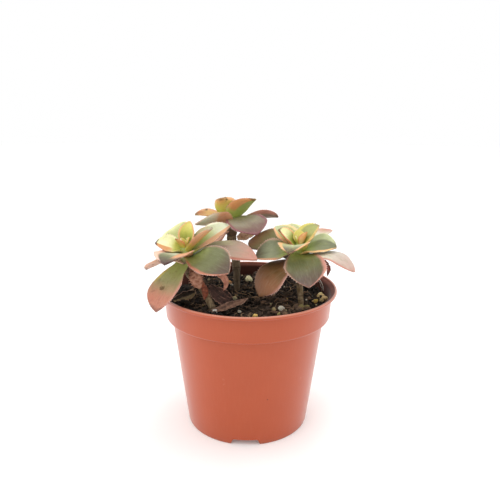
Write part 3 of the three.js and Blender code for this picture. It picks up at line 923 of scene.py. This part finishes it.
# %% Choose the leaf colours
CHART = {
    "moss": "9aa85c", "grass": "909838", "leek": "6c7430", "fern": "70744f", "forest": "646843",
    "spring": "abbd5b", "olive": "8b855a", "sage": "8f9475", "lichen": "777c58", "slate": "696c4e",
    "mint": "b5bb8e", "mist": "c8caac", "silver": "d7d4ba", "pearl": "c3b6a8", "haze": "a99d84",
    "lime": "bcbe56", "lemon": "d9d072", "pear": "a6a96a", "butter": "e6e4aa", "primrose": "f1f1be",
    "cream": "e5ce97", "ivory": "eceacc", "wheat": "b4aa84", "straw": "dabd6e", "honey": "c8a05e",
    "brass": "b6a64f", "sun": "e7b37c", "peach": "d69b74", "sand": "ca966c", "apricot": "c67f4f",
    "amber": "d0905a", "copper": "9d613c", "blush": "eac0aa", "blossom": "bca094", "rose": "c18676",
    "brick": "b97760", "terra": "a3614c", "dusk": "a38a78", "heather": "917b70", "mauve": "8e8472",
    "fawn": "866953", "bracken": "58463b", "stone": "5c5440", "wine": "704d4a", "crimson": "80464f",
    "clay": "9a6848", "umber": "6d5126", "cocoa": "542c17", "plum": "422826",
}
LEAVES = {
    "left": [
        ((-47, 6, 34, 21, 10, -14, 38, 35, 0.65),
         "moss fern bracken", "dusk 0.04 0.3", "brick 0.15", "fern mauve", "plum 0.3"),
        ((-5, 8, 39, 21, 35, -30, 15, 15, 0.6),
         "olive dusk 0.82 rose", "wheat 0.5 0.1 0.6", "terra 0.2", "olive mauve", "rose 0.3"),
        ((10, 5, 28, 19, 45, 25, 30, 15, 0.6),
         "grass 0.45 pear 0.65 mist", "ivory 0.1", "sand 0.75 0.25", "moss sage", "plum 0.35"),
        ((-20, 3, 21, 13, 50, 40, 70, 15, 0.5),
         "lime wheat wheat", "wheat 0.6", "sand 0.5 0.34", "lime honey", "haze 0.9"),
        ((65, 1, 15, 11, 75, 70, 50, 5, 0.5),
         "grass 0.52 lime 0.7 lemon", "sun 0.12", "sun 0.14", "grass lime", "apricot 0.3"),
        ((115, 4, 25, 19, 45, 0, 35, -30, 0.55),
         "grass pear 0.85 butter", "butter 0.2", "butter 0.05", "lime pear", "cream 0.3"),
        ((185, 3, 16, 16, 20, 20, 50, -25, 0.55),
         "lime 0.45 primrose primrose", "amber 0.9 0.42", "primrose 0.12", "pear lemon", "plum 0.95"),
        ((-140, 1, 8, 7, 60, 45, 50, 0, 0.5),
         "lime 0.2 honey sun", "amber 0.14", "honey 0.14", "lime honey", "umber 0.5"),
        ((-110, 5, 24, 22.5, 25, -18, 31, 5, 0.55),
         "mist 0.52 lichen 0.76 bracken", "peach 0.9 0.05 0.78", "blush 0.26", "cocoa plum", "plum 0.9"),
        ((-177, 9, 22.5, 16.5, 21, -42, 4, 22, 0.78),
         "blush blush blush", "blush 0.2", "ivory 0.2", "blush blush", "plum 0.6", "blush",
         (17, 3, 1)),
        ((-125, 9, 32, 22.5, -38, -45, 36, 6, 0.64),
         "moss olive 0.6 brick", "rose 0.2 0.4", "brass 0.1 0.2 0.5", "cocoa plum", "plum 0.5", "terra",
         (18.4, -4, 1.7)),
        ((55, 7, 30, 20, 20, -15, 20, 0, 0.6),
         "fern sage dusk", "rose 0.1", "peach 0.14", "olive mauve", "umber 0.4"),
        ((100, 8, 30, 20, 10, -25, 20, 0, 0.6),
         "fern sage mauve", "rose 0.1", "rose 0.1", "olive mauve", "umber 0.4"),
    ],
    "right": [
        ((-85, 5.8, 32.5, 23, 2, -35, 33, 9, 0.65),
         "moss forest 0.7 bracken", "rose 0.12 0.3", "fawn 0.06", "umber bracken", "wine 0.4"),
        ((175, 6.2, 23.5, 21, 13, -26, 34, -22, 0.56),
         "spring 0.34 sage 0.78 stone", "peach 0.26 0.42", "blush 0.06", "stone bracken", "bracken 0.3"),
        ((-13.5, 5.5, 20.5, 22, 38, -10, 29, 15, 0.55),
         "spring 0.36 lichen slate", "mint 0.42", "sun 0.28 0.05", "moss stone", "plum 0.5", "butter"),
        ((-110, 4, 21, 18, 50, -30, 30, 5, 0.55),
         "lime mint 0.76 bracken", "sun 0.2", "sun 0.26", "lime apricot", "plum 0.8"),
        ((-170, 3, 16, 14, 55, 40, 40, -25, 0.5),
         "grass 0.56 butter butter", "apricot 0.3", "sun 0.12", "pear straw", "umber 0.9"),
        ((140, 4, 20, 17, 55, 15, 35, -10, 0.5),
         "grass 0.4 pear mint", "sun 0.32", "cream 0.2", "lime mint", "mist 0.1"),
        ((15, 3, 17, 16, 70, 35, 50, 15, 0.5),
         "grass 0.45 pear pear", "lemon 0.2", "straw 0.45", "grass pear", "heather 0.7"),
        ((100, 0, 8, 8, 80, 60, 50, 0, 0.5),
         "grass lemon lemon", "lemon 0.2", "lemon 0.2", "grass lemon", "honey 0.2"),
        ((-25, 1, 9, 8, 70, 70, 60, -10, 0.5),
         "lime lemon straw", "amber 0.12", "amber 0.12", "cream sun", "umber 0.3"),
        ((100, 5, 22, 15, 50, 20, 35, 0, 0.5),
         "pear mint mint", "butter 0.3", "butter 0.3", "lime mint", "cream 0.2"),
        ((45, 6, 29, 15, 40, 0, 30, 0, 0.55),
         "sage silver rose", "silver 0.15 0.2 0.6", "silver 0.15 0.2 0.6", "moss mist", "rose 0.8"),
        ((-29, 9.5, 35, 19.5, 45, -52, -6, -1, 0.67),
         "silver 0.52 pearl 0.74 blossom", "blossom 0.2 0.45", "rose 0.1", "leek terra", "rose 0.6"),
        ((-160, 9.5, 30.5, 22, -7, -77, -7, -17, 0.64),
         "clay 0.3 umber 0.55 clay", "rose 0.08", "clay 0.03", "umber clay", "umber 0.3", "blush"),
        ((136, 10.5, 38.5, 21.5, 34, -17.5, 23, -27, 0.6),
         "olive olive clay", "plum 0.04", "dusk 0.04", "umber clay", "plum 0.4"),
        ((85, 8, 32, 20, 15, -20, 20, 0, 0.6),
         "fern olive mauve", "rose 0.08", "rose 0.08", "olive mauve", "umber 0.4"),
    ],
    "back": [
        ((-120, 4, 19.5, 18, 60, 50, 70, 25, 0.46),
         "lime 0.42 straw amber", "sun 0.28", "amber 0.15", "lime 0.8 amber", "umber 0.6", "amber",
         (17, 3, 1.1)),
        ((-45, 4, 25, 17.5, 60, 22, 40, -12, 0.4),
         "grass moss amber", "moss 0.08", "amber 0.6 0.36", "spring moss", "umber 0.9"),
        ((-173, 5, 22, 11.5, 39, -9, 37, -12, 0.56),
         "brass honey copper", "brass 0.4 0 0.6", "sand 0.3", "brass honey", "umber 0.7", "amber",
         (15, -4, 1)),
        ((-133, 5, 28, 20, 12, 3, 38, 31, 0.35),
         "moss silver silver", "peach 0.7 0 0.55", "silver 0.2", "amber 0.55 silver", "rose 0.5"),
        ((-63, 2, 33, 23, 6, -17, 24, 11, 0.67),
         "olive mauve 0.72 wine", "crimson 0.08", "crimson 0.15", "olive wine", "crimson 0.4", "crimson"),
        ((3, 7, 28, 16, 32, -8, 30, -26, 0.7),
         "moss olive dusk", "dusk 0.1", "rose 0.36 0.42", "moss dusk", "plum 0.7"),
        ((55, 3, 13, 9, 66, 50, 45, 0, 0.5),
         "grass lemon lemon", "lemon 0.2", "straw 0.2", "grass lemon", "apricot 0.4"),
        ((110, 7, 22, 16, 18, 0, 30, 0, 0.55),
         "grass pear butter", "peach 0.2", "peach 0.2", "moss pear", "umber 0.4"),
        ((60, 8, 28, 18, 15, -10, 20, 0, 0.6),
         "fern sage dusk", "rose 0.1", "rose 0.1", "olive mauve", "umber 0.4"),
        ((125, 8, 26, 18, 10, -15, 20, 0, 0.6),
         "fern sage mauve", "rose 0.1", "rose 0.1", "olive mauve", "umber 0.4"),
        ((-165, 10, 18, 15, -10, -45, 20, -30, 0.5),
         "blush blush peach", "brick 0.12", "blush 0.1", "rose brick", "brick 0.3"),
    ],
}
print("leaves:", {head: len(rows) for head, rows in LEAVES.items()})

# %% [markdown]
# ## The living leaf's finish
# The finish reads the colours kept on each leaf and lays them out: root to end along the leaf,
# then the margins, whose edge wanders with noise, then the tip. Over them lie faint lengthwise
# veins, patches where the colour of the lower face shows through, the scars of four leaves, and
# a few brown flecks. A waxy skin scatters a little light inside, so young leaves glow.

# %% Finish the leaves
material, start = new_finish("aeonium leaf")
along = start.kept("along")
across = start.kept("across")
upper = start.kept("upper")
spread = start.kept("spread", 1)
blotch = spread.clouds(5.5, 3)
mottle = spread.clouds(1.1, 4, 0.65)
vein = spread.stretched(0.16, 1, 1).clouds(1.3, 3)
wander = 0.14 * (blotch - 0.5) + 0.05 * (mottle - 0.5)
place_along = along + 0.22 * (blotch - 0.5) + 0.06 * (vein - 0.5)
turns = start.kept("turns", 1)
over = (place_along - turns.part(0)).step(-0.19, 0.19)
over = over.between(start.kept("root", 0), start.kept("centre", 0))
over = (place_along - turns.part(1)).step(-0.2, 0.2).between(over, start.kept("end", 0))
under = (place_along - turns.part(2)).step(-0.3, 0.3)
under = under.between(start.kept("below", 0), start.kept("beneath", 0))
skin = upper.step(0.3, 0.7).between(under, over)
for side, name in ((across, "left"), (across * -1, "right")):
    band = start.kept(name + "_band", 1)
    inner = (side + wander - (1 - band.part(0))).step(-0.12, 0.08)
    share = inner * (place_along - band.part(1)).step(-0.12, 0.13)
    share = share * (1 - (place_along - band.part(2)).step(-0.08, 0.08))
    skin = skin.tinted(share, start.kept(name, 0))
late = along.step(0.05, 0.3)
line = (across.size() + 0.4 * wander).step(0.93, 1.0) * late
skin = skin.tinted(line * 0.45, start.kept("rim", 0))
point = (along + 0.5 * wander + 0.03 * across.size()).step(0.9, 0.985)
skin = skin.tinted(point * start.kept("tip_share"), start.kept("tip", 0))
skin = skin.tinted((vein - 0.5).size() * 0.3, paint("dfe0c4"))
patches = spread.clouds(3.2, 4, 0.62).step(0.5, 0.74) * upper.step(0.3, 0.7)
skin = skin.tinted(patches * 0.32, start.kept("below", 0))
mark = start.kept("mark", 1)
away = (spread.part(0) - mark.part(0)) ** 2 + (spread.part(1) - mark.part(1)) ** 2
scar = 1 - (away ** 0.5 / mark.part(2) + 3.6 * (mottle - 0.5)).step(0.5, 1.0)
skin = skin.tinted(scar * 0.85, paint("57401f"))
skin = skin.lit(0.83 + 0.34 * mottle)
fleck = spread.cells(1.9).step(0.11, 0.05) * spread.clouds(7, 2).step(0.5, 0.62)
skin = skin.tinted(fleck * 0.35, paint("6e5a44"))
close_finish(
    start, skin, 0.4 + 0.2 * mottle, 0.6 * vein + 0.5 * mottle, 0.0003, 0.45,
    Subsurface_Weight=0.12, Subsurface_Radius=(0.8, 0.6, 0.25), Subsurface_Scale=0.0015,
    Specular_IOR_Level=0.3,
)
leaf_finish = material
print("leaf finish nodes:", len(material.node_tree.nodes))

# %% [markdown]
# ## The three heads
# Under the leaves sits the crown, a short fleshy cone that carries them. It is turned like the pot
# and hidden from most sides. In the heart of each head a few more tiny leaves close the bud.

# %% Build the heads
CORE = [(0, -12.5), (3.2, -12.5), (3.9, -9), (3.5, -4), (2.2, 0), (0, 1.4)]
BUD = [(20, 0.5, 6, 5), (150, 0, 5, 4.5), (265, 0.3, 5, 4.2), (330, -0.4, 3.6, 3.2)]
BUD_LOOK = ("lime lemon lemon", "butter 0.2", "straw 0.2", "lime lemon", "apricot 0.4")
NO_MARK = (-50, 0, 1)


def spelled(words, defaults):
    """The chart colours named in a few words, and the numbers, completed with the defaults."""
    words = words.split()
    colours = [paint(CHART[word]) for word in words if word.isalpha()]
    numbers = [float(word) for word in words if not word.isalpha()]
    return colours, numbers + list(defaults[len(numbers):])


def leaf_colours(look):
    """The colours of one leaf and where they change, ready to be stored."""
    over, left, right, under, tip, *rest = look
    rim, mark = (rest + ["rose", NO_MARK][len(rest):])[:2]
    if over.split()[1].isalpha():
        over = over.replace(" ", " 0.3 ", 1)
    (root, centre, end), turns = spelled(over, (0.3, 0.75))
    (below, beneath), (under_turn,) = spelled(under, (0.42,))
    (left,), left_band = spelled(left, (0.1, 0.17, 2))
    (right,), right_band = spelled(right, (0.1, 0.17, 2))
    (tip,), (tip_share,) = spelled(tip, (0.3,))
    return {
        "root": root, "centre": centre, "end": end, "left": left, "right": right, "tip": tip,
        "below": below, "beneath": beneath, "rim": paint(CHART[rim]), "tip_share": tip_share,
        "turns": np.array([*turns, under_turn]), "left_band": np.array(left_band),
        "right_band": np.array(right_band), "mark": np.array(mark),
    }


def build_head(name):
    crown = CROWNS[name]
    heap = Heap()
    teeth = 0
    seed = {"left": 100, "right": 200, "back": 300}[name]
    for number, (row, *look) in enumerate(LEAVES[name]):
        teeth += grow_leaf(heap, crown, row, seed + number, leaf_colours(look))
    for number, (bearing, drop, length, width) in enumerate(BUD):
        row = (bearing, drop, length, width, 82, 66, 60, 0, 0.5)
        grow_leaf(heap, crown, row, seed + 50 + number, leaf_colours(BUD_LOOK))
    points, faces = spun(rounded(CORE, 0.6)[:-1].tolist() + [(0, 1.2)], 40)
    points = np.array(points)
    points += unit(points * (1, 1, 0)) * (0.25 * rough(points, 2.0))[:, None]
    lean = Vector((0, 0, 1)).rotation_difference(Vector(crown[1]))
    points = points @ np.array(lean.to_matrix()).T + np.array(crown[0])
    dressing = leaf_colours(("moss moss moss", "moss", "moss", "moss moss", "moss"))
    fresh = np.clip((points @ unit(crown[1]) - np.dot(crown[0], unit(crown[1])) + 8) / 4, 0, 1)
    for key in ("root", "below"):
        dressing[key] = np.outer(fresh, dressing[key]) + np.outer(1 - fresh, paint("6b5440"))
    heap.add(points, faces, along=0.0, across=0.0, upper=0.5, spread=points, **dressing)
    head = heap.piece(f"aeonium_head_{name}", 70)
    head.data.materials.append(leaf_finish)
    settle(head, "leaf", f"rosette_{name}")
    print("teeth on head", name, teeth)


for name in LEAVES:
    build_head(name)

# %% [markdown]
# ## The bare stems
# Below each head the stem is a knobbly grey-brown stick. Every leaf that dropped off left a
# narrow raised ring. The rings follow no strict rhythm, so each ring has its own place, and the
# bark between them is wrinkled lengthwise. Each stem is darker towards the bottom, and the dark
# part reaches highest on the stem at the back.

# %% Build the stems
STEMS = {
    "left": [((-18.5, -27, 62), 2), ((-18.5, -27, 76), 2.1), ((-22, -25.5, 84), 2),
             ((-28, -22.5, 93), 2), ((-32.6, -20, 97), 2.2), ((-33, -20, 99.7), 2.4)],
    "right": [((30.5, -16, 62), 1.7), ((30.5, -16, 76), 1.7), ((29.5, -14.5, 86), 1.6),
              ((29, -13, 93), 1.8), ((28.6, -12, 97), 2.2), ((28.6, -12, 99.7), 2.4)],
    "back": [((-7, 15, 62), 2), ((-7, 15, 76), 2), ((-7.5, 16, 90), 2), ((-9, 17, 103), 2.6),
             ((-10.5, 18, 107), 2.8), ((-10.5, 18, 110.2), 3)],
}
STEM_RINGS, STEM_SIDES = 130, 40
LEAF_SCARS = 16
DARKER_BELOW = {"left": 0.4, "right": 0.38, "back": 0.62}


def build_stem(name, finish):
    stations = STEMS[name]
    path, along = smooth_path([place for place, radius in stations], STEM_RINGS)
    t = np.linspace(0, 1, STEM_RINGS)
    radius = np.interp(t, np.linspace(0, 1, len(stations)), [r for place, r in stations])
    side = unit(np.cross(along, (0, 1, 0.2)))
    other = np.cross(along, side)
    turn = np.linspace(0, 2 * math.pi, STEM_SIDES, endpoint=False)
    luck = np.random.default_rng(len(name))
    scars = luck.uniform(0.3, 0.98, LEAF_SCARS)
    swing = luck.uniform(0, 6.28, LEAF_SCARS)
    around, up = np.meshgrid(turn, t)
    knobs = np.zeros_like(up)
    for scar, start_angle in zip(scars, swing):
        slant = np.cos(around - start_angle)
        knobs += 0.22 * np.exp(-((up - scar + 0.008 * slant) / 0.008) ** 2) * (0.6 + 0.4 * slant)
    bare = path[:, None] + (side[:, None] * np.cos(turn)[None, :, None]
                            + other[:, None] * np.sin(turn)[None, :, None]) * radius[:, None, None]
    flat = bare.reshape(-1, 3)
    wrinkle = rough(flat * (1, 1, 0.25), 0.8, 3, 4).reshape(around.shape)
    swell = rough(flat, 4, 2, 9).reshape(around.shape)
    move = np.minimum(knobs + 0.12 * wrinkle + 0.14 * swell - 0.12, 0.3)
    shaped = path[:, None] + (bare - path[:, None]) * (1 + move / radius[:, None])[..., None]
    stem = new_piece(
        f"stem_bark_{name}", shaped.reshape(-1, 3), tube_faces(STEM_RINGS, STEM_SIDES),
        {"clear": np.repeat(t, STEM_SIDES) - DARKER_BELOW[name], "knob": (knobs / 0.22).ravel()},
    )
    stem.data.materials.append(finish)
    settle(stem, "stem_bark", f"stem_{name}")


material, start = new_finish("stem bark")
spot = start.where()
streak = spot.stretched(1, 1, 0.14).clouds(0.0007, 4, 0.65)
patch = spot.clouds(0.0035, 3)
bark = streak.step(0.32, 0.68).between(paint("64503c"), paint("9c896a"))
bark = bark.tinted(patch.step(0.5, 0.7) * 0.6, paint("6f5a34"))
bark = bark.tinted(start.kept("knob").step(0.2, 0.8) * 0.6, paint("3f2d21"))
# Each stem is made darker towards the bottom, up to its own share of the length.
bark = bark.tinted((1 - start.kept("clear").step(-0.06, 0.08)) * 0.5, paint("2e231c"))
close_finish(start, bark, 0.7 + 0.2 * streak, streak + 0.5 * patch, 0.0005, 0.7,
             Specular_IOR_Level=0.3)
for name in STEMS:
    build_stem(name, material)

# %% [markdown]
# ## The withered leaves
# Seven dead leaves are left: one hangs like a torn rag, one hooks over, one is dark and lies against
# the stem, one is a curled strip on the soil, one is folded, two are mere shreds. An eighth shape is
# the reddish skin that peels off the left stem, too small for a solid of its own. Each follows its
# own midline, as the living ones do, but the blade is thin, crumpled and frayed at the edge.

# %% Shape the withered leaves
DRY_LEAVES = {
    "hanging": dict(spine=[(-31, -23.5, 101.7), (-29, -28, 99.5), (-27.5, -29.5, 95.5), (-26, -29, 91.5)],
                    width=10, face=(0.2, -1, 0.2), cup=-35, widest=0.6, tones="bd8a70 85543f", fray=0.4),
    "hook": dict(spine=[(-29.6, -19.5, 99), (-24, -20.5, 100.5), (-17.5, -25.5, 100), (-13, -29.5, 97.5),
                        (-12, -29, 94), (-13.5, -28, 90)],
                 width=5, face=(0.3, -1, 0.6), cup=40, widest=0.5, tones="c98a72 9c5f4a", fray=0.1),
    "dark": dict(spine=[(-22, -21, 90), (-18.4, -20.8, 86.5), (-13.7, -20.2, 83), (-8.2, -18.4, 80.3)],
                 width=10, face=(0.1, -1, 0.6), cup=40, widest=0.55, tones="573b33 33251f", fray=0.08),
    "strip": dict(spine=[(-20, -29.7, 78.5), (-14, -28, 79.5), (-9, -25, 80.5), (-4, -23, 81.5),
                         (0, -19, 82.5)],
                  width=5, face=(0, -1, 1), cup=60, widest=0.4, tones="8f6c58 5a4236", fray=0.12),
    # The folded leaf is painted dark inside its fold, as painted shade, and lighter on its lower outer lobe,
    # as painted light.
    "folded": dict(spine=[(-43, -14, 79), (-40, -10, 79), (-35, -6, 79.5), (-31, -3, 80.5)],
                   width=9, face=(0.5, -1, 0.6), cup=95, widest=0.5, tones="a4916f 352b22", fray=0.06,
                   shade=-0.3),
    "tan": dict(spine=[(-6.9, 17.2, 108.5), (-2, 15.5, 111), (4, 14, 112.5)],
                width=7, face=(0.2, -1, 0.4), cup=30, widest=0.5, tones="e2bb9c bd8e70", fray=0.15),
    "red": dict(spine=[(31.4, -11, 98.3), (36, -8.5, 100.5), (42, -8.5, 101.5), (45.8, -9.5, 98),
                       (45.5, -10, 93)],
                width=4, face=(0.2, -1, 0.2), cup=50, widest=0.6, tones="8a4238 5d2c28", fray=0.2),
    "peel": dict(spine=[(-25.6, -25.4, 94.5), (-23.9, -26.4, 90.9), (-23.3, -27.2, 87.7), (-24, -27.8, 84.5)],
                 width=4.6, face=(0.3, -1, 0.2), cup=-50, widest=0.5, tones="9c5436 6f3a28", fray=0.15),
}
DRY_ROWS = 60
DRY_THICKNESS = 0.4


def build_dry_leaf(name, number, finish):
    leaf = DRY_LEAVES[name]
    middle, along = smooth_path(leaf["spine"], DRY_ROWS)
    s = np.linspace(0, 1, DRY_ROWS)
    side = unit(np.cross(leaf["face"], along))
    face = np.cross(along, side)
    half = leaf["width"] / 2 * width_share(s, leaf["widest"], 0.08)
    round_edge = np.sqrt(np.clip(1 - np.abs(ACROSS) ** 10, 0, 1))[None]
    thick = DRY_THICKNESS / 2 * round_edge * np.ones((DRY_ROWS, 1))
    ring, out = sections(middle, side, face, half, leaf["cup"], ACROSS, thick, thick)
    v = np.concatenate([ACROSS, ACROSS[-2:0:-1]])
    outs = np.concatenate([out, out[:, -2:0:-1]], 1)
    spread = np.stack(np.broadcast_arrays(
        s[:, None] * len(s) * 0.4, v[None] * half[:, None], number * 30.0), -1)
    flat = spread.reshape(-1, 3)
    torn = 1 - leaf["fray"] * np.abs(rough(flat * (1, 0, 1), 1.1, 3, 5).reshape(ring.shape[:2]))
    edge = np.abs(v)[None] ** 3
    torn = 1 - (1 - torn) * edge * 2.2
    centre = middle[:, None]
    ring = centre + (ring - centre) * torn[..., None]
    crumple = rough(flat, 3.2, 3, 11).reshape(ring.shape[:2]) * 0.55 * min(1, leaf["width"] / 10)
    fade = np.minimum(1, s / 0.12)[:, None]
    ring = ring + outs * (crumple * fade * (0.35 + 0.65 * np.abs(v)[None]))[..., None]
    tones = [paint(code) for code in leaf["tones"].split()]
    same = lambda a: np.broadcast_to(a, ring.shape[:2]).ravel()
    heap = Heap()
    heap.add(ring.reshape(-1, 3), tube_faces(*ring.shape[:2]), along=same(s[:, None]),
             across=same(v[None]), spread=flat, light=tones[0], deep=tones[1],
             shade=same(leaf.get("shade", 0) * np.tanh(4 * (v[None] + 0.1))))
    piece = heap.piece(f"withered_leaf_{name}")
    piece.data.materials.append(finish)
    settle(piece, "dry_leaf", *([] if name == "peel" else [f"dry_leaf_{name}"]))


material, start = new_finish("withered leaf")
spread = start.kept("spread", 1)
across = start.kept("across")
vein = spread.stretched(0.12, 1, 1).clouds(0.9, 4, 0.6)
blotch = spread.clouds(2.6, 4, 0.6)
# For the folded leaf, the stored bias moves it towards its deep tone inside the fold, as painted shade, and
# towards its light tone on the lower lobe, as painted light.
dry = (blotch + start.kept("shade")).step(0.35, 0.65).between(start.kept("deep", 0), start.kept("light", 0))
dry = dry.tinted(vein.step(0.5, 0.7) * 0.35, paint("d9a58a"))
dry = dry.tinted((across.size() + 0.3 * (blotch - 0.5)).step(0.88, 1.0) * 0.45, paint("e0b39c"))
dry = dry.tinted(spread.clouds(0.7, 4, 0.7).step(0.6, 0.72) * 0.4, paint("3a2622"))
close_finish(start, dry, 0.62 + 0.2 * vein, vein + 0.6 * blotch, 0.0005, 0.8,
             Specular_IOR_Level=0.35)
for number, name in enumerate(DRY_LEAVES):
    build_dry_leaf(name, number, material)

# %% [markdown]
# ## Check the size
# Dressing the solids must not change the size of the plant. The corners of the box of the solids
# and of the box of the dressed plant are compared, and the differences are printed in millimetres.

# %% Compare the boxes and finish
dressed_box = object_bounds()
grown = [round((abs(a - b)) * 1000, 2) for c, d in zip(cad_box, dressed_box) for a, b in zip(c, d)]
print("box corners differ by (mm):", grown)
